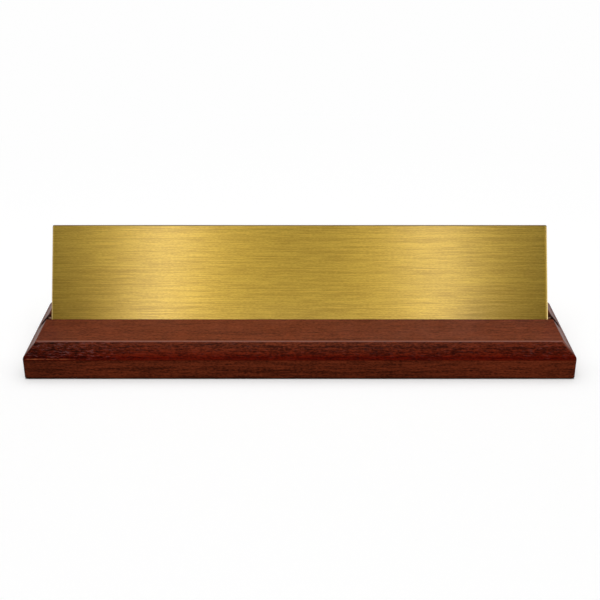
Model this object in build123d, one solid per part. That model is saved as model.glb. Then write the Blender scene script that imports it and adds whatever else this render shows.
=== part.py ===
from build123d import *

import os
from math import cos, radians, sin

# Desk name plate: a bevelled hardwood base with a groove along it, a metal plate that
# stands in the groove and leans back, and felt pads under the base.
# Millimetres and degrees. +Z is up, the front faces -Y, and the origin is on the table,
# under the middle of the base.

# Metal plate, leaning back from upright
plate_length = 254.0
plate_height = 50.8
plate_thickness = 2.0
plate_corner_radius = 0.8
plate_edge_bevel = 0.6
plate_lean = 28.0

# Wooden base, which reaches past the plate at both ends
plate_end_margin = 8.3
base_depth = 63.5
base_thickness = 17.5
bevel_run = 6.0
bevel_drop = 6.6

# Softened edges of the wood
top_edge_radius = 0.6
front_shoulder_radius = 1.8
end_shoulder_radius = 2.5
bottom_edge_radius = 0.4
corner_radius = 1.8

# Groove: its setback runs along the top of the wood from the front face to the front lip,
# and its depth runs down its rear wall
groove_setback = 31.0
groove_depth = 3.8
groove_clearance = 0.4
groove_lip_radius = 0.4

# Felt pads: the insets run from the sides of the base to the centre of a pad
foot_diameter = 13.0
foot_thickness = 0.3
foot_end_inset = 19.0
foot_side_inset = 14.0

# How far a cutter runs past the wood, and how near an edge counts as lying on a plane
cutter_overrun = 5.0
tolerance = 0.01

base_length = plate_length + 2 * plate_end_margin
base_front = -base_depth / 2
base_bottom = foot_thickness
base_top = base_bottom + base_thickness
shoulder_height = base_top - bevel_drop
groove_width = plate_thickness + groove_clearance


def bevelled_section(width, shoulder_radius):
    """Cross section of the board: square foot, bevels on both sides and rounded shoulders."""
    half_width = width / 2
    half_top = half_width - bevel_run
    section = make_face(
        Polyline(
            (-half_width, base_bottom),
            (half_width, base_bottom),
            (half_width, shoulder_height),
            (half_top, base_top),
            (-half_top, base_top),
            (-half_width, shoulder_height),
            close=True,
        )
    )
    shoulders = section.vertices().filter_by_position(
        Axis.Y, shoulder_height - tolerance, shoulder_height + tolerance
    )
    return fillet(shoulders, shoulder_radius)


def is_corner_edge(edge):
    """Whether an edge climbs one of the board's four corners, up the mitre of the bevels."""
    middle = edge.center()
    beside_end = abs(middle.X) > base_length / 2 - bevel_run - tolerance
    beside_front_or_rear = abs(middle.Y) > base_depth / 2 - bevel_run - tolerance
    climb = abs((edge @ 0).Z - (edge @ 1).Z)
    return beside_end and beside_front_or_rear and climb > tolerance


def make_board():
    """Board with bevels all round that meet in mitres, and every edge softened."""
    lengthways = extrude(
        Plane.YZ * bevelled_section(base_depth, front_shoulder_radius), base_length, both=True
    )
    crossways = extrude(
        Plane.XZ * bevelled_section(base_length, end_shoulder_radius), base_depth, both=True
    )
    board = lengthways & crossways
    board = fillet(
        [edge for edge in board.edges() if is_corner_edge(edge)],
        min(corner_radius, front_shoulder_radius),
    )
    board = fillet(board.faces().sort_by(Axis.Z)[-1].edges(), top_edge_radius)
    return fillet(board.faces().sort_by(Axis.Z)[0].edges(), bottom_edge_radius)


def seat_plane():
    """Plane of the groove's rear wall, from the seat up: X along it, Y up the lean, Z forward."""
    lean = radians(plate_lean)
    rear_lip = base_front + groove_setback + groove_width / cos(lean)
    return Plane(
        origin=(0, rear_lip - groove_depth * sin(lean), base_top - groove_depth * cos(lean)),
        x_dir=(1, 0, 0),
        z_dir=(0, -cos(lean), sin(lean)),
    )


def make_base():
    """Board with the slanting groove cut along its whole length and its lips softened."""
    cutter = seat_plane() * Box(
        base_length + 2 * cutter_overrun,
        groove_depth + cutter_overrun,
        groove_width,
        align=(Align.CENTER, Align.MIN, Align.MIN),
    )
    base = make_board() - cutter
    top_face = base.faces().sort_by(Axis.Z)[-1]
    lips = [
        edge
        for edge in base.edges().filter_by(Axis.X)
        if abs(edge.center().Z - top_face.center().Z) < tolerance
        and abs(edge.center().Y) < base_depth / 2 - bevel_run - top_edge_radius
    ]
    return fillet(lips, groove_lip_radius)


def make_plate():
    """Flat plate with rounded corners and a bevel round its front, standing on the seat."""
    blank = extrude(
        RectangleRounded(
            plate_length, plate_height, plate_corner_radius, align=(Align.CENTER, Align.MIN)
        ),
        plate_thickness,
    )
    front_rim = blank.faces().sort_by(Axis.Z)[-1].edges()
    return seat_plane() * chamfer(front_rim, plate_edge_bevel)


def make_foot(side_x, side_y):
    """Round felt pad stuck under one corner of the base."""
    place = Pos(
        side_x * (base_length / 2 - foot_end_inset),
        side_y * (base_depth / 2 - foot_side_inset),
    )
    return place * Cylinder(
        foot_diameter / 2, foot_thickness, align=(Align.CENTER, Align.CENTER, Align.MIN)
    )


nodes = {"base_block": make_base(), "name_plate": make_plate()}
for row, side_y in (("front", -1), ("rear", 1)):
    for end, side_x in (("left", -1), ("right", 1)):
        nodes[f"foot_{row}_{end}"] = make_foot(side_x, side_y)

os.makedirs("parts", exist_ok=True)
for name, solid in nodes.items():
    export_step(solid, f"parts/{name}.step")
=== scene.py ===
"""Dresses the desk name plate: a lacquered hardwood base, a brushed brass plate and felt pads.

Metres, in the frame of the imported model: +X to the right, +Y to the rear, +Z up, with the
origin on the table under the middle of the base.
"""
import logging
import math
import random
from dataclasses import dataclass
from enum import Enum
from typing import Dict, List, Optional, Sequence, Tuple, Union

import bmesh
import bpy
from mathutils import Matrix, Vector


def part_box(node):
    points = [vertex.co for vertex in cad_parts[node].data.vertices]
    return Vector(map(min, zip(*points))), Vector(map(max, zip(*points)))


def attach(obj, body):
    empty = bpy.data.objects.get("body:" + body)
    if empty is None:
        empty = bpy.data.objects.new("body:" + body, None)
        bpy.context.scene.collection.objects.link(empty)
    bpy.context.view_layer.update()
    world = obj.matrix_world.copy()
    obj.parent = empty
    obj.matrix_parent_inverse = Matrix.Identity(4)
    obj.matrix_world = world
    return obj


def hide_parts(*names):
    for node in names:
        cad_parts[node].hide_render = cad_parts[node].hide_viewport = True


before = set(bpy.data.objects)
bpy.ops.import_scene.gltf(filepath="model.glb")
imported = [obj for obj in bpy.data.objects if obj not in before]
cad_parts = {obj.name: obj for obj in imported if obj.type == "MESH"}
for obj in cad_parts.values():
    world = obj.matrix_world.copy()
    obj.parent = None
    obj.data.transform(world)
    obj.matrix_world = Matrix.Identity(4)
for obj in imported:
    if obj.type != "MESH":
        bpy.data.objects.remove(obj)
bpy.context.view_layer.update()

MM = 0.001

Feed = Union[float, Sequence[float], bpy.types.NodeSocket, "Value"]
Feeds = Dict[Union[str, int], Feed]
Pair = Tuple[float, float]
Triple = Tuple[float, float, float]
Colour = Tuple[float, float, float, float]
# Two places, and the values of an effect at them
Fade = Tuple[float, float, float, float]

log = logging.getLogger("desk_name_plate")


class Body(Enum):
    """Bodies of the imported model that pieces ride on."""

    BASE = "base"
    PLATE = "plate"


class Slot(Enum):
    """Material slots of the record."""

    BRASS = "brass_plate"
    FELT = "felt"


class Value:
    """A node's output, which can be reckoned with like a number."""

    def __init__(self, graph: "Graph", socket: bpy.types.NodeSocket) -> None:
        """Keeps the output and the graph that it is in."""
        self.graph = graph
        self.socket = socket

    def __add__(self, other: Feed) -> "Value":
        """Returns the sum."""
        return self.graph.math("ADD", self, other)

    def __sub__(self, other: Feed) -> "Value":
        """Returns the difference."""
        return self.graph.math("SUBTRACT", self, other)

    def __rsub__(self, other: Feed) -> "Value":
        """Returns the difference from a number."""
        return self.graph.math("SUBTRACT", other, self)

    def __mul__(self, other: Feed) -> "Value":
        """Returns the product."""
        return self.graph.math("MULTIPLY", self, other)

    def __truediv__(self, other: Feed) -> "Value":
        """Returns the quotient."""
        return self.graph.math("DIVIDE", self, other)

    def __abs__(self) -> "Value":
        """Returns the value without its sign."""
        return self.graph.math("ABSOLUTE", self)

    def clamped(self) -> "Value":
        """Returns the value kept within 0 and 1."""
        return self.graph.math("ADD", self, 0.0, clamp=True)

    def spread(self, low: Feed, high: Feed, to_low: Feed = 0.0, to_high: Feed = 1.0, smooth: bool = False
               ) -> "Value":
        """Returns the value mapped from one range to another and clamped there."""
        feeds = {"Value": self, "From Min": low, "From Max": high, "To Min": to_low, "To Max": to_high}
        return self.graph.value("ShaderNodeMapRange", feeds, clamp=True,
                                interpolation_type="SMOOTHSTEP" if smooth else "LINEAR")

    def band(self, middle: float, half_width: float) -> "Value":
        """Returns 1 where the value is at the middle, falling to 0 at half a width on both sides."""
        return abs(self - middle).spread(0.0, half_width, 1.0, 0.0, smooth=True)


class Graph:
    """Short calls that add nodes to one tree and link them."""

    def __init__(self, tree: bpy.types.NodeTree) -> None:
        """Keeps the tree that the nodes go into."""
        self.tree = tree

    def fill(self, node: bpy.types.Node, feeds: Feeds) -> None:
        """Links a node's inputs to outputs of others, or sets their constants.

        Args:
            node: the node.
            feeds: what goes into its inputs, by their names or indices.
        """
        for key, feed in feeds.items():
            source = feed.socket if isinstance(feed, Value) else feed
            if isinstance(source, bpy.types.NodeSocket):
                self.tree.links.new(source, node.inputs[key])
            else:
                node.inputs[key].default_value = source

    def node(self, kind: str, feeds: Optional[Feeds] = None, **settings: object) -> bpy.types.Node:
        """Adds a node.

        Args:
            kind: the node's type name.
            feeds: what goes into its inputs, by their names or indices.
            settings: its other properties.

        Returns:
            The new node.
        """
        made = self.tree.nodes.new(kind)
        for name, setting in settings.items():
            setattr(made, name, setting)
        self.fill(made, feeds or {})
        return made

    def value(self, kind: str, feeds: Optional[Feeds] = None, output: Union[str, int] = 0,
              **settings: object) -> Value:
        """Adds a node and returns one of its outputs."""
        return Value(self, self.node(kind, feeds, **settings).outputs[output])

    def math(self, operation: str, first: Feed, second: Feed = 0.0, clamp: bool = False) -> Value:
        """Returns the result of a Math node."""
        return self.value("ShaderNodeMath", {0: first, 1: second}, operation=operation, use_clamp=clamp)

    def vector(self, operation: str, first: Feed, second: Feed = (0.0, 0.0, 0.0)) -> Value:
        """Returns the vector result of a Vector Math node."""
        return self.value("ShaderNodeVectorMath", {0: first, 1: second}, "Vector", operation=operation)

    def length(self, vector: Feed) -> Value:
        """Returns a vector's length."""
        return self.value("ShaderNodeVectorMath", {0: vector}, "Value", operation="LENGTH")

    def split(self, vector: Feed) -> List[Value]:
        """Returns the X, Y and Z of a vector."""
        return [Value(self, part) for part in self.node("ShaderNodeSeparateXYZ", {0: vector}).outputs]

    def join(self, x: Feed, y: Feed, z: Feed) -> Value:
        """Returns the vector of three numbers."""
        return self.value("ShaderNodeCombineXYZ", {0: x, 1: y, 2: z})

    def noise(self, vector: Feed, scale: Feed = 1.0, detail: float = 2.0, rough: float = 0.5) -> Value:
        """Returns the value of a Noise texture."""
        feeds = {"Vector": vector, "Scale": scale, "Detail": detail, "Roughness": rough}
        return self.value("ShaderNodeTexNoise", feeds)

    def dots(self, vector: Feed, scale: Feed, left_out: float, near: float, far: float) -> Value:
        """Sets dots in some of the cells of a Voronoi texture.

        Args:
            vector: the place.
            scale: how many cells there are to a unit.
            left_out: the share of the cells without a dot.
            near: the distance from a cell's point where its dot begins to fade.
            far: the distance where it ends.

        Returns:
            A mask of the dots.
        """
        cells = self.node("ShaderNodeTexVoronoi", {"Vector": vector, "Scale": scale})
        chosen = self.math("GREATER_THAN", self.split(cells.outputs["Color"])[0], left_out)
        return chosen * Value(self, cells.outputs["Distance"]).spread(near, far, 1.0, 0.0, smooth=True)

    def mix(self, share: Feed, first: Feed, second: Feed, blend: str = "MIX") -> Value:
        """Returns two colours mixed by a share."""
        feeds = {0: share, 6: first, 7: second}
        return self.value("ShaderNodeMix", feeds, 2, data_type="RGBA", blend_type=blend)

    def bump(self, height: Feed, strength: float, depth: float) -> Value:
        """Returns the normal of a surface with a height."""
        feeds = {"Strength": strength, "Distance": depth, "Height": height}
        return self.value("ShaderNodeBump", feeds, "Normal")


def new_group(name: str, inputs: Dict[str, str], outputs: Dict[str, str], kind: str = "ShaderNodeTree"
              ) -> Tuple[Graph, List[Value], bpy.types.Node]:
    """Makes an empty node group.

    Args:
        name: the group's name.
        inputs: what each input carries, such as Float or Vector, by its name.
        outputs: what each output carries.
        kind: the type of node tree.

    Returns:
        The group's graph, the values that it is given and its output node.
    """
    tree = bpy.data.node_groups.new(name, kind)
    for in_out, sockets in (("INPUT", inputs), ("OUTPUT", outputs)):
        for label, carried in sockets.items():
            tree.interface.new_socket(label, in_out=in_out, socket_type=f"NodeSocket{carried}")
    graph = Graph(tree)
    given = [Value(graph, socket) for socket in graph.node("NodeGroupInput").outputs[:len(inputs)]]
    return graph, given, graph.node("NodeGroupOutput")


class SharedEffects:
    """Shader groups that more than one finish uses."""

    def __init__(self) -> None:
        """Builds each group once."""
        self.streak_group = self.build_streaks()
        self.edge_group = self.build_edge_band()
        self.speck_group = self.build_specks()

    def build_streaks(self) -> bpy.types.NodeTree:
        """Draws out noise along X, for grain and brush lines.

        Returns:
            A group that turns a place and the counts per metre along and across into a value.
        """
        graph, (vector, along, across, seed), out = new_group(
            "drawn_out_streaks",
            {"Vector": "Vector", "Along": "Float", "Across": "Float", "Seed": "Float"}, {"Value": "Float"})
        place = graph.vector("MULTIPLY", vector, graph.join(along, across, across))
        place = graph.vector("ADD", place, graph.join(seed, seed, 0.0))
        graph.fill(out, {"Value": graph.noise(place, 1.0, 3.0, 0.55).spread(0.25, 0.75)})
        return graph.tree

    def build_edge_band(self) -> bpy.types.NodeTree:
        """Draws a band along the edge of a rectangle, broken up by noise.

        Returns:
            A group that gives 1 on the edge and 0 a width away from it.
        """
        graph, (vector, half_x, half_y, height, width, breaks), out = new_group(
            "broken_edge_band",
            {"Vector": "Vector", "Half X": "Float", "Half Y": "Float", "Height": "Float", "Width": "Float",
             "Breaks": "Float"}, {"Mask": "Float"})
        x, y, z = graph.split(vector)
        sideways = graph.math("MAXIMUM", abs(x) - half_x, abs(y) - half_y)
        away = graph.length(graph.join(sideways, z - height, 0.0))
        broken = graph.noise(vector, breaks, 4.0, 0.65).spread(0.3, 0.7, 0.25, 1.6)
        share = away / (width * broken)
        graph.fill(out, {"Mask": share.spread(0.25, 1.0, 1.0, 0.0, smooth=True)})
        return graph.tree

    def build_specks(self) -> bpy.types.NodeTree:
        """Scatters fine uneven patches and specks, as handling leaves on a surface.

        Returns:
            A group that gives soft patches and small specks.
        """
        graph, (vector, patches, specks), out = new_group(
            "handling_specks", {"Vector": "Vector", "Patches": "Float", "Specks": "Float"},
            {"Patch": "Float", "Speck": "Float"})
        patch = graph.noise(vector, patches, 4.0, 0.6).spread(0.3, 0.7)
        graph.fill(out, {"Patch": patch, "Speck": graph.dots(vector, specks, 0.86, 0.06, 0.16)})
        return graph.tree

    def streaks(self, graph: Graph, place: Value, counts: Pair, seed: float) -> Value:
        """Returns streaks of the given counts per metre along X and across it."""
        feeds = {"Vector": place, "Along": counts[0], "Across": counts[1], "Seed": seed}
        return graph.value("ShaderNodeGroup", feeds, node_tree=self.streak_group)

    def edge_band(self, graph: Graph, place: Value, half: Pair, height: float, width: float,
                  breaks: float) -> Value:
        """Returns a broken band along the edge of a rectangle at a height."""
        feeds = {"Vector": place, "Half X": half[0], "Half Y": half[1], "Height": height, "Width": width,
                 "Breaks": breaks}
        return graph.value("ShaderNodeGroup", feeds, node_tree=self.edge_group)

    def specks(self, graph: Graph, place: Value, counts: Pair) -> List[Value]:
        """Returns soft patches and small specks of the given counts per metre."""
        made = graph.node("ShaderNodeGroup", {"Vector": place, "Patches": counts[0], "Specks": counts[1]},
                          node_tree=self.speck_group)
        return [Value(graph, socket) for socket in made.outputs]


def new_material(name: str) -> Tuple[bpy.types.Material, Graph, bpy.types.Node]:
    """Makes a material with a Principled shader on its output.

    Args:
        name: the material's name.

    Returns:
        The material, its graph and its shader node.
    """
    material = bpy.data.materials.new(name)
    material.use_nodes = True
    graph = Graph(material.node_tree)
    shader = next(n for n in material.node_tree.nodes if n.type == "BSDF_PRINCIPLED")
    return material, graph, shader


@dataclass(frozen=True)
class BoardLines:
    """Lines of the board that its finish follows."""

    half_base: Pair
    half_top: Pair
    bottom: float
    shoulder: float
    top: float
    groove_seat: Pair
    groove_width: float
    half_plate: float
    lean: float


class BoardSpot:
    """Values that tell where on the board a place is.

    The slope is 0 on the top, 1 at the shoulder below the bevel and 3 near the foot. The gaps
    run inwards from the ends and from the front and rear, and they are equal on the mitres.
    """

    def __init__(self, graph: Graph, board: BoardLines) -> None:
        """Measures a place against the board.

        Args:
            graph: the wood's graph.
            board: the board's lines.
        """
        self.graph = graph
        self.board = board
        self.place = graph.value("ShaderNodeTexCoord", output="Object")
        self.x, self.y, self.z = graph.split(self.place)
        self.drop = board.top - board.shoulder
        self.slope = self.z.spread(board.top, board.shoulder - 2.0 * self.drop, 0.0, 3.0)
        self.above_foot = self.z - board.bottom
        self.below_top = board.top - self.z
        self.from_middle = abs(self.x)
        self.end_gap = board.half_base[0] - self.from_middle
        self.side_gap = board.half_base[1] - abs(self.y)
        self.past_mitre = self.end_gap - self.side_gap
        self.long_side = self.past_mitre.spread(-0.2 * MM, 0.2 * MM)


@dataclass(frozen=True)
class StainedHardwood:
    """Reddish brown stained hardwood under a satin lacquer, its grain along X.

    Counts are per metre, along the grain and across it. A share says how far one colour goes
    over into another.
    """

    effects: SharedEffects
    pale: Colour = (0.210, 0.0415, 0.0145, 1.0)
    dark: Colour = (0.048, 0.0085, 0.0032, 1.0)
    pore: Colour = (0.022, 0.005, 0.0025, 1.0)
    # Painted sheen and painted highlight colour
    painted_sheen: Colour = (0.260, 0.098, 0.068, 1.0)
    # Painted glint colour for the ripples' crests
    painted_crest_glint: Colour = (0.130, 0.060, 0.058, 1.0)
    worn: Colour = (0.340, 0.085, 0.030, 1.0)
    raw: Colour = (0.160, 0.060, 0.026, 1.0)
    # Painted light colour for the groove's rear wall just beyond the plate's ends
    rubbed: Colour = (0.340, 0.190, 0.120, 1.0)
    soaked: Colour = (0.60, 0.19, 0.10, 1.0)
    gathered: Colour = (0.72, 0.34, 0.22, 1.0)
    shadow: Colour = (0.010, 0.003, 0.002, 1.0)
    # Grain, with the contrast by slope and the darker end along X
    pith: Pair = (14 * MM, -58 * MM)
    ring_spacing: float = 3.4 * MM
    ring_sway: float = 5.0 * MM
    sway_counts: Triple = (9.0, 60.0, 60.0)
    ribbon_counts: Pair = (8.0, 110.0)
    fibre_counts: Pair = (110.0, 1400.0)
    fleck_counts: Pair = (660.0, 1700.0)
    pore_counts: Triple = (260.0, 2000.0, 2000.0)
    pore_share: float = 0.32
    mean_tone: float = 0.52
    high_contrast: Fade = (0.0, 0.3, 2.2, 3.3)
    low_contrast: Fade = (0.95, 1.1, 3.3, 2.6)
    dark_end: Fade = (-134 * MM, -96 * MM, 0.32, 0.0)
    # Bevels: the torn ends along X, the soaking from the middle, the rest by the ripples' height
    ripple_counts: Pair = (260.0, 1350.0)
    ripple_sink: float = 0.08
    drift_count: float = 330.0
    drift_reach: float = 2.0
    torn_left: Fade = (-112 * MM, -72 * MM, 1.0, 0.2)
    torn_right: Fade = (100 * MM, 125 * MM, 0.0, 0.45)
    soaking: Fade = (30 * MM, 125 * MM, 0.18, 0.55)
    # Painted shade in the ripples' hollows and painted glints on their crests
    hollows: Fade = (0.58, 0.28, 0.0, 0.95)
    crests: Fade = (0.60, 0.85, 0.0, 0.78)
    # Wear, painted sheen and highlights, and painted shade in the upright corners: insets run in from an
    # edge, ends along X
    edge_sheen_inset: Fade = (0.6 * MM, 1.9 * MM, 0.64, 0.0)
    patch_sheen: Fade = (0.35, 0.65, 0.04, 0.12)
    patch_sheen_end: Fade = (10 * MM, 70 * MM, 1.0, 1.9)
    rub_inset: float = 4.6 * MM
    rub_width: float = 2.4 * MM
    rub_share: float = 0.10
    handled_inset: Fade = (6 * MM, 20 * MM, 0.0, 0.08)
    handled_end: Fade = (40 * MM, 100 * MM, 1.0, 0.0)
    shoulder_width: float = 0.40 * MM
    shoulder_end: Fade = (-119 * MM, -107 * MM, 0.85, 0.0)
    mitre_width: float = 1.2 * MM
    mitre_end: Fade = (0.0, 100 * MM, 0.0, 1.0)
    end_bevel_sheen: Fade = (0.0, -1.0 * MM, 0.0, 0.40)
    corner_inset: Fade = (0.1 * MM, 0.8 * MM, 0.7, 0.0)
    # Painted shade in the groove, behind the plate and along the foot by the height above it, and the
    # underside
    mouth_widths: Fade = (0.0, 4.2 * MM, 3.4 * MM, 2.0 * MM)
    groove_share: float = 0.97
    shade_reach: float = 7 * MM
    shade_share: float = 0.90
    foot_shade: Fade = (0.2 * MM, 1.2 * MM, 0.75, 0.0)
    underside: Fade = (0.05 * MM, 0.2 * MM, 0.55, 0.0)
    # Gloss, with the coat by slope
    speck_counts: Pair = (70.0, 1500.0)
    roughness: float = 0.50
    shine: float = 0.0
    bloom: float = 0.004
    bloom_roughness: float = 0.4
    lacquer_roughness: float = 0.22
    top_coat: Fade = (0.02, 0.06, 0.16, 0.0)
    side_coat: Fade = (0.1, 0.9, 0.06, 0.02)
    end_coat: Fade = (0.15, 0.75, 0.40, 0.20)
    rim_coat: float = 0.75
    rim_width: float = 0.40 * MM
    bump_depth: float = 0.22 * MM

    def build(self, board: BoardLines) -> bpy.types.Material:
        """Builds the material.

        Args:
            board: the lines of the board that the stain and the wear follow.

        Returns:
            The material.
        """
        material, graph, shader = new_material("stained_hardwood")
        spot = BoardSpot(graph, board)
        groove, into_slab = self.groove(spot)
        fibres = self.effects.streaks(graph, spot.place, self.fibre_counts, 11.0)
        pores = graph.dots(graph.vector("MULTIPLY", spot.place, self.pore_counts), 1.0, 0.55, 0.12, 0.34)
        ripples = self.ripples(spot)
        torn = self.torn(spot)
        colour = self.grain(spot, fibres, pores)
        colour = self.stain(spot, colour, ripples, torn)
        colour = self.top_wear(spot, colour)
        colour = self.edge_wear(spot, colour)
        colour = self.hidden_faces(spot, colour, groove, into_slab)
        patch, speck = self.effects.specks(graph, spot.place, self.speck_counts)
        rough = patch.spread(0.0, 1.0, self.roughness - 0.05, self.roughness + 0.07)
        height = (fibres * 0.25 + ripples * torn * 0.75).clamped() - pores * 0.15
        graph.fill(shader, {
            "Base Color": colour,
            "Roughness": (rough + pores * 0.15 + groove).clamped(),
            "Normal": graph.bump(height, 0.8, self.bump_depth),
            "Specular IOR Level": self.shine,
            "Coat Weight": self.lacquer(spot, speck, groove),
            "Coat Roughness": self.lacquer_roughness,
            "Sheen Weight": self.bloom,
            "Sheen Roughness": self.bloom_roughness})
        return material

    def grain(self, spot: BoardSpot, fibres: Value, pores: Value) -> Value:
        """Colours the stained wood.

        Args:
            spot: the place on the board.
            fibres: its fibres.
            pores: its open pores, as short dashes.

        Returns:
            The colour of rings, ribbons, fibres, flecks and pores, with most contrast on the bevels.
        """
        graph = spot.graph
        sway = (graph.noise(graph.vector("MULTIPLY", spot.place, self.sway_counts)) - 0.5) * self.ring_sway
        from_pith = graph.vector("SUBTRACT", spot.place, (0.0, *self.pith))
        radius = graph.length(graph.vector("MULTIPLY", from_pith, (0.0, 1.0, 1.0)))
        rings = (radius + sway) / self.ring_spacing
        late_wood = graph.math("POWER", graph.math("FRACT", rings), 2.5)
        ribbons = self.effects.streaks(graph, spot.place, self.ribbon_counts, 3.0)
        flecks = self.effects.streaks(graph, spot.place, self.fleck_counts, 41.0)
        mottle = graph.noise(spot.place, 260.0).spread(0.25, 0.75)
        tone = late_wood * 0.07 + ribbons * 0.16 + fibres * 0.36 + flecks * 0.42 + mottle * 0.05
        contrast = graph.math("MINIMUM", spot.slope.spread(*self.high_contrast),
                              spot.slope.spread(*self.low_contrast))
        tone = (tone.clamped() - self.mean_tone) * contrast + self.mean_tone
        colour = graph.mix(tone.clamped(), self.pale, self.dark)
        colour = graph.mix(pores * self.pore_share, colour, self.pore)
        return graph.mix(spot.x.spread(*self.dark_end, smooth=True), colour, self.pore)

    def ripples(self, spot: BoardSpot) -> Value:
        """Draws the wavy ripples that the cutter left on the bevels.

        Args:
            spot: the place on the board.

        Returns:
            The ripples' height, in lines that sink to the right.
        """
        graph = spot.graph
        along, across = self.ripple_counts
        down = spot.slope * (spot.drop * 1.35)
        drift = graph.noise(graph.join(spot.x * self.drift_count, down * self.drift_count, 7.0))
        place = graph.join(spot.x * along, (down - spot.x * self.ripple_sink) * across, 0.0)
        place = graph.vector("ADD", place, graph.join(0.0, drift * self.drift_reach, 0.0))
        return graph.noise(place, 1.0, 4.0, 0.68).spread(0.29, 0.71)

    def torn(self, spot: BoardSpot) -> Value:
        """Finds where the cutter has torn up the grain of the long bevels.

        Args:
            spot: the place on the board.

        Returns:
            How far the grain is torn up: most at the left end, a little at the right.
        """
        ends = spot.x.spread(*self.torn_left, smooth=True) + spot.x.spread(*self.torn_right, smooth=True)
        uneven = spot.graph.noise(spot.place, 42.0, 3.0, 0.6).spread(0.3, 0.6, 0.45, 1.0)
        bevel = spot.slope.spread(0.01, 0.05) * spot.slope.spread(1.0, 1.05, 1.0, 0.0)
        return ends.clamped() * uneven * bevel * spot.long_side

    def stain(self, spot: BoardSpot, colour: Value, ripples: Value, torn: Value) -> Value:
        """Adds the stain that has soaked into the bevels and gathered along the shoulder.

        Args:
            spot: the place on the board.
            colour: the colour of the wood.
            ripples: the ripples on the bevels.
            torn: how far their grain is torn up.

        Returns:
            The colour with the stain, painted shade in the ripples' hollows and painted glints on their
            crests.
        """
        graph, slope = spot.graph, spot.slope
        high_share = spot.from_middle.spread(*self.soaking)
        share = (slope.spread(0.005, 0.035) * slope.spread(0.2, 0.85, high_share, 1.0)
                 * slope.spread(1.04, 1.16, 1.0, 0.30))
        colour = graph.mix(share, colour, graph.mix(1.0, colour, self.soaked, "MULTIPLY"))
        # Painted shade in the ripples' hollows and painted glints on their crests
        colour = graph.mix(ripples.spread(*self.hollows) * torn, colour, self.shadow)
        colour = graph.mix(ripples.spread(*self.crests) * torn, colour, self.painted_crest_glint)
        broken = graph.noise(spot.place, 55.0, 3.0, 0.6).spread(0.30, 0.55, 0.35, 1.0)
        low_line = graph.math("MAXIMUM", slope.band(0.92, 0.10), slope.band(1.08, 0.06))
        return graph.mix(low_line * broken, colour, graph.mix(1.0, colour, self.gathered, "MULTIPLY"))

    def top_wear(self, spot: BoardSpot, colour: Value) -> Value:
        """Adds the painted sheen and highlight and the rubbing on the top of the board.

        Args:
            spot: the place on the board.
            colour: the colour of the stained wood.

        Returns:
            The colour, with a painted highlight along the edges and painted sheen in patches, and rubbed
            where hands go.
        """
        graph, board = spot.graph, spot.board
        on_top = spot.slope.spread(0.005, 0.03, 1.0, 0.0)
        inside = spot.side_gap - (board.half_base[1] - board.half_top[1])
        # Painted highlight along the long top edges, and painted sheen in patches
        edge = inside.spread(*self.edge_sheen_inset, smooth=True)
        patches = graph.noise(spot.place, 38.0, 4.0, 0.65).spread(*self.patch_sheen)
        patches = patches * spot.x.spread(*self.patch_sheen_end, smooth=True)
        colour = graph.mix(graph.math("MAXIMUM", edge, patches) * on_top, colour, self.painted_sheen)
        rubbed = inside.band(self.rub_inset, self.rub_width) * self.rub_share
        handled = inside.spread(*self.handled_inset) * spot.x.spread(*self.handled_end)
        return graph.mix(graph.math("MAXIMUM", rubbed, handled) * on_top, colour, self.worn)

    def edge_wear(self, spot: BoardSpot, colour: Value) -> Value:
        """Adds the wear of the shoulder, painted highlights on the mitres and end bevels, and painted shade
        in the upright corners.

        Args:
            spot: the place on the board.
            colour: the colour of the wood.

        Returns:
            The colour, with a worn left shoulder, painted highlights on the mitres and end bevels and painted
            shade in the upright corners.
        """
        graph, board, slope = spot.graph, spot.board, spot.slope
        shoulder = self.effects.edge_band(graph, spot.place, board.half_base, board.shoulder,
                                          self.shoulder_width, 160.0)
        shoulder = shoulder * spot.x.spread(*self.shoulder_end, smooth=True)
        colour = graph.mix(shoulder, colour, self.worn)
        # Painted highlights along the right mitre and across the end bevels
        mitre = spot.past_mitre.band(0.0, self.mitre_width) * slope.spread(0.1, 0.8, 1.0, 0.0)
        mitre = mitre * spot.x.spread(*self.mitre_end)
        end_bevel = spot.past_mitre.spread(*self.end_bevel_sheen) * slope.spread(0.7, 1.0, 1.0, 0.0)
        sheened = graph.math("MAXIMUM", mitre, end_bevel) * slope.spread(0.0, 0.03)
        colour = graph.mix(sheened, colour, self.painted_sheen)
        # Painted shade along the upright corners
        corner = spot.end_gap.spread(*self.corner_inset) * slope.spread(0.95, 1.15)
        corner = corner * spot.side_gap.spread(1.2 * MM, 2.2 * MM, 1.0, 0.0)
        return graph.mix(corner, colour, self.shadow)

    def groove(self, spot: BoardSpot) -> Tuple[Value, Value]:
        """Finds the groove, with its mouths widened over the end bevels, where shade is painted in.

        Args:
            spot: the place on the board.

        Returns:
            A mask of the groove's walls and mouths, and how far forward of its middle a place is.
        """
        board = spot.board
        seat_y, seat_z = board.groove_seat
        half_width = board.groove_width / 2
        forward = (spot.y - seat_y) * -math.cos(board.lean) + (spot.z - seat_z) * math.sin(board.lean)
        into_slab = forward - half_width
        past_top = (spot.from_middle - board.half_top[0]).spread(-0.4 * MM, 0.4 * MM)
        mouth = past_top * spot.below_top.spread(*self.mouth_widths)
        ragged = spot.graph.noise(spot.place, 900.0, 3.0).spread(0.3, 0.7, -0.4, 0.4)
        beyond = abs(into_slab + mouth * 0.3) - (mouth * 0.5 + (half_width + 0.12 * MM)) + ragged * mouth
        in_slab = beyond.spread(0.0, mouth * 0.5 + 0.01 * MM, 1.0, 0.0, smooth=True)
        above_seat = (spot.z - seat_z).spread(-0.9 * MM, -0.3 * MM)
        return in_slab * above_seat * spot.below_top.spread(0.05 * MM, 0.4 * MM), into_slab

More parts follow.
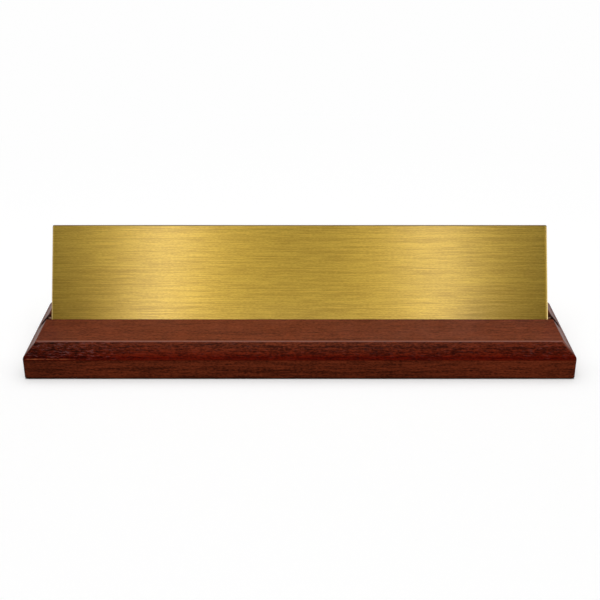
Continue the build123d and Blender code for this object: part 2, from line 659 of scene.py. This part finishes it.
    def hidden_faces(self, spot: BoardSpot, colour: Value, groove: Value, into_slab: Value) -> Value:
        """Colours what the lacquer doesn't reach, and paints shade in the groove, behind the plate and along
        the foot, and light beside the plate's ends.

        Args:
            spot: the place on the board.
            colour: the colour of the finished wood.
            groove: a mask of the groove's walls and mouths.
            into_slab: how far forward of the groove's middle a place is.

        Returns:
            The colour with painted shade in the groove, painted light on its rear wall just beyond the
            plate's ends, painted shadow behind the plate and along the foot, and a wiped underside.
        """
        graph, board = spot.graph, spot.board
        # Painted shade in the groove and over its mouths on the end bevels
        colour = graph.mix(groove * self.groove_share, colour, self.shadow)
        past_wall = into_slab + board.groove_width / 2
        # Painted light: a pale patch on the groove's rear wall just beyond each end of the plate
        rubbed = ((spot.from_middle - board.half_plate).band(1.1 * MM, 1.2 * MM)
                  * spot.below_top.band(0.6 * MM, 0.7 * MM) * past_wall.band(0.0, 0.4 * MM))
        colour = graph.mix(rubbed, colour, self.rubbed)
        # Painted shadow of the plate on the top behind the groove
        shade = past_wall.spread(0.0, -self.shade_reach, self.shade_share, 0.0, smooth=True)
        on_top = graph.math("LESS_THAN", spot.below_top, 0.3 * MM)
        colour = graph.mix(shade * graph.math("LESS_THAN", past_wall, 0.0) * on_top, colour, self.shadow)
        # Painted shade along the foot
        colour = graph.mix(spot.above_foot.spread(*self.foot_shade), colour, self.shadow)
        return graph.mix(spot.above_foot.spread(*self.underside), colour, self.raw)

    def lacquer(self, spot: BoardSpot, speck: Value, groove: Value) -> Value:
        """Finds how much lacquer lies on the wood.

        Args:
            spot: the place on the board.
            speck: small specks where the lacquer is dull.
            groove: a mask of the groove's walls and mouths, where no lacquer got in.

        Returns:
            The weight of the clear coat.
        """
        graph, board, slope = spot.graph, spot.board, spot.slope
        sides = slope.spread(*self.side_coat) * spot.long_side
        ends = slope.spread(0.02, 0.12) * slope.spread(*self.end_coat) * (1.0 - spot.long_side)
        rim = self.effects.edge_band(graph, spot.place, board.half_top, board.top, self.rim_width, 90.0)
        rim = rim * spot.long_side * self.rim_coat
        coat = slope.spread(*self.top_coat) + (sides + ends) + rim - speck * 0.1
        return coat.clamped() * spot.above_foot.spread(0.2 * MM, 1.4 * MM) * (1.0 - groove)


@dataclass(frozen=True)
class BrushedBrass:
    """Brass brushed lengthways under a thin clear lacquer.

    Counts are per metre, along the brush lines and across them. Insets run in from an edge.
    """

    effects: SharedEffects
    metal: Colour = (0.695, 0.452, 0.058, 1.0)
    shade: Colour = (0.460, 0.283, 0.030, 1.0)
    # Painted shade, multiplied in low at the ends
    painted_dimming: Colour = (0.71, 0.68, 0.53, 1.0)
    # Painted highlight colour for the right end
    painted_end_glint: Colour = (0.95, 0.62, 0.08, 1.0)
    # Worn bare rim, also lighter as a painted highlight
    bare: Colour = (0.94, 0.71, 0.25, 1.0)
    # Painted shade colour for the top edge
    stained: Colour = (0.16, 0.085, 0.020, 1.0)
    broad_counts: Pair = (2.5, 420.0)
    line_counts: Pair = (26.0, 1500.0)
    hair_counts: Pair = (85.0, 2400.0)
    nick_counts: Pair = (620.0, 2800.0)
    speck_counts: Pair = (30.0, 900.0)
    rim_width: float = 0.8 * MM
    end_glint_inset: Fade = (1.5 * MM, 1.0 * MM, 0.0, 0.6)
    dark_edge_inset: Fade = (0.75 * MM, 0.45 * MM, 0.0, 0.8)
    roughness: float = 0.30
    rim_polish: float = 0.15
    pull: float = 0.76
    waver: float = 0.006
    bump_depth: float = 0.02 * MM
    lacquer_roughness: float = 0.16

    def build(self, map_name: str, half: Pair) -> bpy.types.Material:
        """Builds the material.

        Args:
            map_name: the plate's map, in metres from its middle.
            half: half of the plate's length and height.

        Returns:
            The material.
        """
        material, graph, shader = new_material("brushed_brass")
        place = graph.value("ShaderNodeUVMap", output="UV", uv_map=map_name)
        along, up = graph.split(place)[:2]
        lines = self.effects.streaks(graph, place, self.line_counts, 17.0)
        hairs = self.effects.streaks(graph, place, self.hair_counts, 29.0)
        # The rubbed rim, which also carries a painted highlight, strongest along the bottom
        rim = self.effects.edge_band(graph, place, half, 0.0, self.rim_width, 140.0)
        rim = rim * along.spread(-half[0], half[0]) * up.spread(0.4 * half[1], -0.8 * half[1], 0.4, 1.0)
        patch, speck = self.effects.specks(graph, place, self.speck_counts)
        rough = lines.spread(0.0, 1.0, self.roughness - 0.025, self.roughness + 0.025)
        normal = graph.bump((lines * 0.6 + hairs * 0.4).clamped(), 0.2, self.bump_depth)
        turned = graph.vector("ADD", normal, graph.join((lines - 0.5) * self.waver, 0.0, 0.0))
        graph.fill(shader, {
            "Base Color": self.colour(graph, place, half, lines, hairs, rim),
            "Metallic": 1.0,
            "Roughness": rough - rim * self.rim_polish + patch * 0.02 + speck * 0.06,
            "Normal": graph.vector("NORMALIZE", turned),
            "Tangent": graph.value("ShaderNodeTangent", direction_type="UV_MAP", uv_map=map_name),
            "Anisotropic": self.pull,
            "Anisotropic Rotation": 0.25,
            "Coat Weight": 1.0,
            "Coat Roughness": self.lacquer_roughness})
        return material

    def colour(self, graph: Graph, place: Value, half: Pair, lines: Value, hairs: Value, rim: Value
               ) -> Value:
        """Colours the brass.

        Args:
            graph: the material's graph.
            place: the place on the plate.
            half: half of the plate's length and height.
            lines: its brush lines.
            hairs: its finer brush lines.
            rim: the rim where its lacquer has rubbed off, also lighter as a painted highlight.

        Returns:
            The colour, with painted shade low at the ends, a painted highlight along the right end and
            painted shade along the top edge.
        """
        along, up = graph.split(place)[:2]
        broad = self.effects.streaks(graph, place, self.broad_counts, 5.0)
        nicks = self.effects.streaks(graph, place, self.nick_counts, 37.0)
        tone = (broad * 0.19 + lines * 0.36 + hairs * 0.40 + nicks * 0.35).clamped()
        colour = graph.mix(tone.spread(0.47, 0.83), self.metal, self.shade)
        # Painted shade low down towards both ends
        outward = abs(along).spread(0.5 * half[0], 0.85 * half[0], smooth=True)
        low_share = along.spread(-0.5 * half[0], 0.5 * half[0], 1.0, 0.62)
        painted_low_shade = outward * up.spread(0.6 * half[1], -half[1]) * low_share
        colour = graph.mix(painted_low_shade, colour, self.painted_dimming, "MULTIPLY")
        # Painted highlight along the right end
        colour = graph.mix((half[0] - along).spread(*self.end_glint_inset), colour, self.painted_end_glint)
        # The rim, worn bare and lighter as a painted highlight
        colour = graph.mix(rim, colour, self.bare)
        # Painted shade along the top edge
        return graph.mix((half[1] - up).spread(*self.dark_edge_inset), colour, self.stained)


@dataclass(frozen=True)
class PressedFelt:
    """Dark pressed wool felt."""

    effects: SharedEffects
    wool: Colour = (0.030, 0.027, 0.025, 1.0)
    lint: Colour = (0.075, 0.068, 0.062, 1.0)
    tuft_count: float = 1400.0
    speck_counts: Pair = (300.0, 2200.0)
    bump_depth: float = 0.15 * MM
    roughness: float = 0.95
    bloom: float = 0.4
    shine: float = 0.1

    def build(self) -> bpy.types.Material:
        """Builds the material.

        Returns:
            The material.
        """
        material, graph, shader = new_material("pressed_felt")
        place = graph.value("ShaderNodeTexCoord", output="Object")
        tufts = graph.noise(place, self.tuft_count, 5.0, 0.7)
        speck = self.effects.specks(graph, place, self.speck_counts)[1]
        share = (tufts.spread(0.35, 0.75) + speck * 0.5).clamped()
        graph.fill(shader, {
            "Base Color": graph.mix(share, self.wool, self.lint),
            "Normal": graph.bump(tufts, 0.8, self.bump_depth),
            "Roughness": self.roughness,
            "Sheen Weight": self.bloom,
            "Specular IOR Level": self.shine})
        return material


@dataclass(frozen=True)
class StudioFloor:
    """White table that keeps the soft shadow round the object and fades into a plain white, with a painted
    shadow under the board and its glow raised towards the rear as painted light.
    """

    seen_white: Colour = (0.65, 0.65, 0.65, 1.0)
    thrown_white: Colour = (0.56, 0.56, 0.56, 1.0)
    unlit: Colour = (0.0, 0.0, 0.0, 1.0)
    # Glow near the object, rising towards the rear as painted light
    near_glow: Fade = (-28 * MM, 8 * MM, 0.345, 0.378)
    far_glow: float = 0.99
    fade: Pair = (0.14, 0.45)
    # Painted shadow: the glow fades out under the board's footprint
    contact: Fade = (0.0, 0.4 * MM, 1.0, 0.0)

    def build(self, footprint: Pair) -> bpy.types.Material:
        """Builds the material.

        Args:
            footprint: half of the length and depth that the object covers.

        Returns:
            The material.
        """
        material, graph, shader = new_material("studio_floor")
        rays = graph.node("ShaderNodeLightPath").outputs
        seen = graph.math("MAXIMUM", rays["Is Camera Ray"], rays["Is Glossy Ray"])
        seen = graph.math("MAXIMUM", seen, rays["Is Transmission Ray"])
        place = graph.value("ShaderNodeTexCoord", output="Object")
        x, y = graph.split(place)[:2]
        far = graph.length(place).spread(*self.fade, smooth=True)
        white = graph.mix(far, self.seen_white, self.unlit)
        # Painted shadow under the board, and painted light rising towards the rear
        covered = graph.math("MINIMUM", footprint[0] - abs(x), footprint[1] - abs(y))
        near_glow = y.spread(*self.near_glow, smooth=True) * covered.spread(*self.contact)
        graph.fill(shader, {
            "Base Color": graph.mix(seen, self.thrown_white, white),
            "Emission Strength": seen * far.spread(0.0, 1.0, near_glow, self.far_glow),
            "Roughness": 1.0,
            "Specular IOR Level": 0.0})
        return material


def new_object(name: str, data: bpy.types.ID) -> bpy.types.Object:
    """Makes an object and links it to the scene.

    Args:
        name: the object's name.
        data: its mesh, lamp or camera.

    Returns:
        The new object.
    """
    made = bpy.data.objects.new(name, data)
    bpy.context.scene.collection.objects.link(made)
    return made


def finished_mesh(name: str, shape: bmesh.types.BMesh) -> bpy.types.Mesh:
    """Turns a shape into a mesh and frees it.

    Args:
        name: the mesh's name.
        shape: the shape.

    Returns:
        The mesh.
    """
    mesh = bpy.data.meshes.new(name)
    shape.to_mesh(mesh)
    shape.free()
    return mesh


def close_loops(shape: bmesh.types.BMesh, loops: List[List[bmesh.types.BMVert]]) -> None:
    """Joins each loop of points to the next with faces, and closes the first and the last.

    Args:
        shape: the shape that the points are in.
        loops: the loops, from the rear or the bottom on, each with the same number of points.
    """
    count = len(loops[0])
    for near, far in zip(loops, loops[1:]):
        for i in range(count):
            j = (i + 1) % count
            shape.faces.new((near[i], near[j], far[j], far[i]))
    shape.faces.new(list(reversed(loops[0])))
    shape.faces.new(loops[-1])


def dress(piece: bpy.types.Object, material: bpy.types.Material) -> None:
    """Gives a piece one material in place of those that it has."""
    piece.data.materials.clear()
    piece.data.materials.append(material)


@dataclass
class NamePlate:
    """The bare brass plate that stands in the groove."""

    finish: BrushedBrass
    node: str = "name_plate"
    length: float = 254.0 * MM
    height: float = 50.8 * MM
    thickness: float = 2.0 * MM
    corner_radius: float = 0.8 * MM
    least_radius: float = 0.1 * MM
    edge_bevel: float = 0.6 * MM
    rear_ease: float = 0.12 * MM
    lean: float = math.radians(28.0)
    map_name: str = "brush_map"
    corner_steps: int = 4

    def seat(self) -> Vector:
        """Returns the middle of the plate's rear lower edge, which stands on the groove's floor."""
        low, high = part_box(self.node)
        return Vector((0.0, high.y - self.height * math.sin(self.lean), low.z))

    def frame_matrix(self) -> Matrix:
        """Turns the plate's own axes, X along it, Y up it and Z out of its front, into the frame.

        Returns:
            The matrix.
        """
        seat = self.seat()
        rise, run = math.cos(self.lean), math.sin(self.lean)
        return Matrix((
            (1.0, 0.0, 0.0, seat.x),
            (0.0, run, -rise, seat.y),
            (0.0, rise, run, seat.z),
            (0.0, 0.0, 0.0, 1.0)))

    def outline(self, inset: float) -> List[Pair]:
        """Draws the plate's outline.

        Args:
            inset: how far it is drawn in.

        Returns:
            The points of a rounded rectangle, from its lower left corner round.
        """
        radius = max(self.corner_radius - inset, self.least_radius)
        left, right = -self.length / 2 + inset, self.length / 2 - inset
        bottom, top = inset, self.height - inset
        corners = ((left, bottom, 180.0), (right, bottom, 270.0), (right, top, 0.0), (left, top, 90.0))
        points = []
        for x, y, start in corners:
            centre_x = x + math.copysign(radius, -x)
            centre_y = y + (radius if y == bottom else -radius)
            for step in range(self.corner_steps + 1):
                angle = math.radians(start + 90.0 * step / self.corner_steps)
                points.append((centre_x + radius * math.cos(angle), centre_y + radius * math.sin(angle)))
        return points

    def build(self) -> bpy.types.Object:
        """Builds the plate: flat faces, a bevel round the front and slightly eased rear edges.

        Returns:
            The plate's object.
        """
        rims = ((self.rear_ease, 0.0), (0.0, self.rear_ease), (0.0, self.thickness - self.edge_bevel),
                (self.edge_bevel, self.thickness))
        shape = bmesh.new()
        map_layer = shape.loops.layers.uv.new(self.map_name)
        close_loops(shape, [[shape.verts.new((x, y, depth)) for x, y in self.outline(inset)]
                            for inset, depth in rims])
        for face in shape.faces:
            for corner in face.loops:
                corner[map_layer].uv = (corner.vert.co.x, corner.vert.co.y - self.height / 2)
        shape.transform(self.frame_matrix())
        plate = new_object("brass_plate", finished_mesh("brass_plate", shape))
        dress(plate, self.finish.build(self.map_name, (self.length / 2, self.height / 2)))
        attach(plate, Body.PLATE.value)
        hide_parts(self.node)
        return plate


@dataclass
class WoodBase:
    """The bevelled board with the groove."""

    finish: StainedHardwood
    plate: NamePlate
    node: str = "base_block"
    bevel_run: float = 6.0 * MM
    bevel_drop: float = 6.6 * MM
    groove_clearance: float = 0.4 * MM

    def lines(self) -> BoardLines:
        """Finds the lines of the board that its finish follows.

        Returns:
            The lines.
        """
        low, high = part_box(self.node)
        seat = self.plate.seat()
        return BoardLines(
            half_base=(high.x, high.y),
            half_top=(high.x - self.bevel_run, high.y - self.bevel_run),
            bottom=low.z,
            shoulder=high.z - self.bevel_drop,
            top=high.z,
            groove_seat=(seat.y, seat.z),
            groove_width=self.plate.thickness + self.groove_clearance,
            half_plate=self.plate.length / 2,
            lean=self.plate.lean)

    def dress(self) -> bpy.types.Object:
        """Gives the board its finish.

        Returns:
            The board's object.
        """
        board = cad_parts[self.node]
        dress(board, self.finish.build(self.lines()))
        return board


@dataclass
class FeltPads:
    """The die-cut felt pads under the corners of the base."""

    finish: PressedFelt
    nodes: Tuple[str, ...] = ("foot_front_left", "foot_front_right", "foot_rear_left", "foot_rear_right")
    segments: int = 72
    inner_share: float = 0.55
    ragged: float = 0.10 * MM
    wave_counts: Tuple[int, ...] = (5, 9, 14, 23)
    edge_ease: float = 0.12 * MM
    rim_upright: float = 0.8
    fibre_length: float = 0.55 * MM
    fibre_radius: float = 0.022 * MM
    fibre_turn: float = 1.1
    shortest_fibre: float = 0.4
    fibres_per_square_metre: float = 1.6e7
    first_seed: int = 20

    def disc(self, node: str, seed: int) -> bpy.types.Mesh:
        """Builds one pad's body: a disc with a ragged rim, eased above and below.

        Args:
            node: the CAD node whose place it takes.
            seed: the seed of its ragged rim.

        Returns:
            The disc's mesh.
        """
        low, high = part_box(node)
        middle = (low + high) / 2
        radius = (high.x - low.x) / 2
        draw = random.Random(seed)
        waves = [(count, draw.uniform(0.0, 2.0 * math.pi)) for count in self.wave_counts]
        inner, eased = radius * self.inner_share, radius - self.edge_ease
        rings = ((inner, low.z), (eased, low.z), (radius, low.z + self.edge_ease),
                 (radius, high.z - self.edge_ease), (eased, high.z), (inner, high.z))
        shape = bmesh.new()
        loops = []
        for ring_radius, height in rings:
            loop = []
            for i in range(self.segments):
                angle = 2.0 * math.pi * i / self.segments
                ripple = sum(math.sin(count * angle + phase) for count, phase in waves) / len(waves)
                reach = ring_radius - self.ragged + self.ragged * ripple
                loop.append(shape.verts.new((middle.x + reach * math.cos(angle),
                                             middle.y + reach * math.sin(angle), height)))
            loops.append(loop)
        close_loops(shape, loops)
        return finished_mesh(node, shape)

    def fuzz_tree(self) -> bpy.types.NodeTree:
        """Builds the tree that sets short fibres round the rim of a pad.

        Returns:
            The tree, with inputs for the fibres' number and size, the seed, the ceiling and the finish.
        """
        graph, given, out = new_group(
            "felt_fuzz",
            {"Pad": "Geometry", "Fibres": "Float", "Length": "Float", "Radius": "Float", "Ceiling": "Float",
             "Seed": "Int", "Felt": "Material"}, {"Pad": "Geometry"}, "GeometryNodeTree")
        bare_pad, fibres, length, radius, ceiling, seed, felt = given
        upright = graph.split(graph.value("GeometryNodeInputNormal"))[2]
        rim = graph.math("LESS_THAN", abs(upright), self.rim_upright)
        points = graph.node("GeometryNodeDistributePointsOnFaces", {
            "Mesh": bare_pad, "Selection": rim, "Density": fibres, "Seed": seed})
        fibre = graph.node("GeometryNodeMeshCone", {
            "Vertices": 3, "Radius Top": 0.0, "Radius Bottom": radius, "Depth": length}, fill_type="NONE")
        turn = graph.node("FunctionNodeRandomValue", {
            "Min": (-self.fibre_turn,) * 3, "Max": (self.fibre_turn,) * 3, "Seed": seed},
            data_type="FLOAT_VECTOR")
        turned = graph.node("FunctionNodeRotateRotation", {
            "Rotation": points.outputs["Rotation"], "Rotate By": turn.outputs[0]}, rotation_space="LOCAL")
        size = graph.node("FunctionNodeRandomValue", {
            "Min": self.shortest_fibre, "Max": 1.0, "Seed": seed}, data_type="FLOAT")
        scattered = graph.node("GeometryNodeInstanceOnPoints", {
            "Points": points.outputs["Points"], "Instance": fibre.outputs["Mesh"],
            "Rotation": turned.outputs[0], "Scale": size.outputs[1]})
        plain = graph.node("GeometryNodeRealizeInstances", {"Geometry": scattered.outputs["Instances"]})
        both = graph.node("GeometryNodeJoinGeometry")
        graph.fill(both, {0: bare_pad})
        graph.fill(both, {0: plain.outputs["Geometry"]})
        x, y, z = graph.split(graph.value("GeometryNodeInputPosition"))
        height = graph.math("MINIMUM", graph.math("MAXIMUM", z, 0.0), ceiling)
        kept = graph.node("GeometryNodeSetPosition", {
            "Geometry": both.outputs[0], "Position": graph.join(x, y, height)})
        dressed = graph.node("GeometryNodeSetMaterial", {"Geometry": kept.outputs[0], "Material": felt})
        graph.fill(out, {"Pad": dressed.outputs[0]})
        return graph.tree

    def build(self) -> List[bpy.types.Object]:
        """Builds the pads.

        Returns:
            The pads' objects.
        """
        felt = self.finish.build()
        tree = self.fuzz_tree()
        identifiers = {item.name: item.identifier for item in tree.interface.items_tree
                       if item.in_out == "INPUT"}
        pads = []
        for seed, node in enumerate(self.nodes, self.first_seed):
            draft = new_object(f"{node}_draft", self.disc(node, seed))
            fuzz = draft.modifiers.new("felt_fuzz", "NODES")
            fuzz.node_group = tree
            values = {"Fibres": self.fibres_per_square_metre, "Length": self.fibre_length,
                      "Radius": self.fibre_radius, "Ceiling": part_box(node)[1].z, "Seed": seed, "Felt": felt}
            for name, value in values.items():
                fuzz[identifiers[name]] = value
            evaluated = draft.evaluated_get(bpy.context.evaluated_depsgraph_get())
            mesh = bpy.data.meshes.new_from_object(evaluated)
            bpy.data.objects.remove(draft)
            pad = new_object(f"{node}_felt", mesh)
            dress(pad, felt)
            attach(pad, Body.BASE.value)
            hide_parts(node)
            pads.append(pad)
        return pads


@dataclass(frozen=True)
class Softbox:
    """A rectangular softbox, with the radiance of its surface, where 1 is white."""

    name: str
    place: Triple
    size: Pair
    radiance: float


@dataclass
class Studio:
    """Floor, lights and camera."""

    horizon: float = 0.8
    front_horizon: float = 0.7
    low_room: float = 0.03
    low_fade: Pair = (0.0, 0.12)
    high_room: float = 0.32
    high_fade: Pair = (0.42, 0.78)
    floor_radius: float = 12.0
    floor_segments: int = 96
    sky_direction: Triple = (0.0, 0.1, -1.0)
    sky_strength: float = 1.75
    sky_angle: float = math.radians(110.0)
    aim: Triple = (0.0, 0.0, 0.03)
    boxes: Tuple[Softbox, ...] = (
        Softbox("strip_left", (-0.279, -1.3, 0.80), (0.09, 1.3), 4.15),
        Softbox("strip_right", (0.280, -1.3, 0.80), (0.11, 1.3), 3.08),
        Softbox("rear_box", (0.0, 0.45, 1.2), (0.9, 0.4), 1.5),
        Softbox("top_box", (0.0, -0.36, 1.2), (1.2, 0.3), 1.0),
        Softbox("front_fill", (-0.01, -1.42, 0.405), (0.42, 0.70), 1.13))
    lens: float = 62.235
    sensor_width: float = 36.0
    camera_place: Triple = (0.00014, -0.47574, 0.25327)
    camera_tilt: float = math.radians(90.0 - 25.328)

    def build_room(self) -> None:
        """Sets the colour handling and the room's light: pale low down, dim higher up."""
        scene = bpy.context.scene
        scene.view_settings.view_transform = "Standard"
        world = bpy.data.worlds.new("studio_room")
        world.use_nodes = True
        graph = Graph(world.node_tree)
        rearward, height = graph.split(graph.value("ShaderNodeTexCoord", output="Generated"))[1:]
        pale = rearward.spread(-0.6, 0.0, self.front_horizon, self.horizon)
        low_level = height.spread(*self.low_fade, pale, self.low_room, smooth=True)
        high_level = height.spread(*self.high_fade, 0.0, self.high_room, smooth=True)
        level = graph.math("MAXIMUM", low_level, high_level)
        graph.fill(world.node_tree.nodes["Background"], {"Color": level})
        scene.world = world

    def build_floor(self, board: BoardLines) -> bpy.types.Object:
        """Lays the floor.

        Args:
            board: the lines of the board that stands on it.

        Returns:
            The floor's object.
        """
        shape = bmesh.new()
        bmesh.ops.create_circle(shape, cap_ends=True, radius=self.floor_radius,
                                segments=self.floor_segments)
        floor = new_object("floor", finished_mesh("floor", shape))
        dress(floor, StudioFloor().build(board.half_base))
        return floor

    def light_sky(self) -> None:
        """Adds a broad light from overhead that lights surfaces but isn't mirrored in them."""
        data = bpy.data.lights.new("overhead", "SUN")
        data.energy = self.sky_strength
        data.angle = self.sky_angle
        lamp = new_object("overhead", data)
        lamp.rotation_euler = Vector(self.sky_direction).to_track_quat("-Z", "Y").to_euler()
        lamp.visible_glossy = False

    def light_boxes(self) -> None:
        """Adds the softboxes, which face the plate."""
        for box in self.boxes:
            data = bpy.data.lights.new(box.name, "AREA")
            data.shape = "RECTANGLE"
            data.size, data.size_y = box.size
            data.energy = box.radiance * math.pi * box.size[0] * box.size[1]
            lamp = new_object(box.name, data)
            lamp.location = box.place
            towards = Vector(self.aim) - Vector(box.place)
            lamp.rotation_euler = towards.to_track_quat("-Z", "Y").to_euler()

    def shoot(self) -> None:
        """Places the camera."""
        data = bpy.data.cameras.new("camera")
        data.sensor_width = self.sensor_width
        data.lens = self.lens
        camera = new_object("camera", data)
        camera.location = self.camera_place
        camera.rotation_euler = (self.camera_tilt, 0.0, 0.0)
        bpy.context.scene.camera = camera


def main() -> None:
    """Dresses every piece, then sets up the studio."""
    logging.basicConfig(level=logging.INFO, format="%(name)s: %(message)s")
    effects = SharedEffects()
    plate = NamePlate(BrushedBrass(effects))
    log.info("built %s", plate.build().name)
    base = WoodBase(StainedHardwood(effects), plate)
    log.info("dressed %s", base.dress().name)
    for pad in FeltPads(PressedFelt(effects)).build():
        log.info("built %s with %d faces", pad.name, len(pad.data.polygons))
    studio = Studio()
    studio.build_room()
    studio.build_floor(base.lines())
    studio.light_sky()
    studio.light_boxes()
    studio.shoot()


if __name__ == "__main__":
    main()
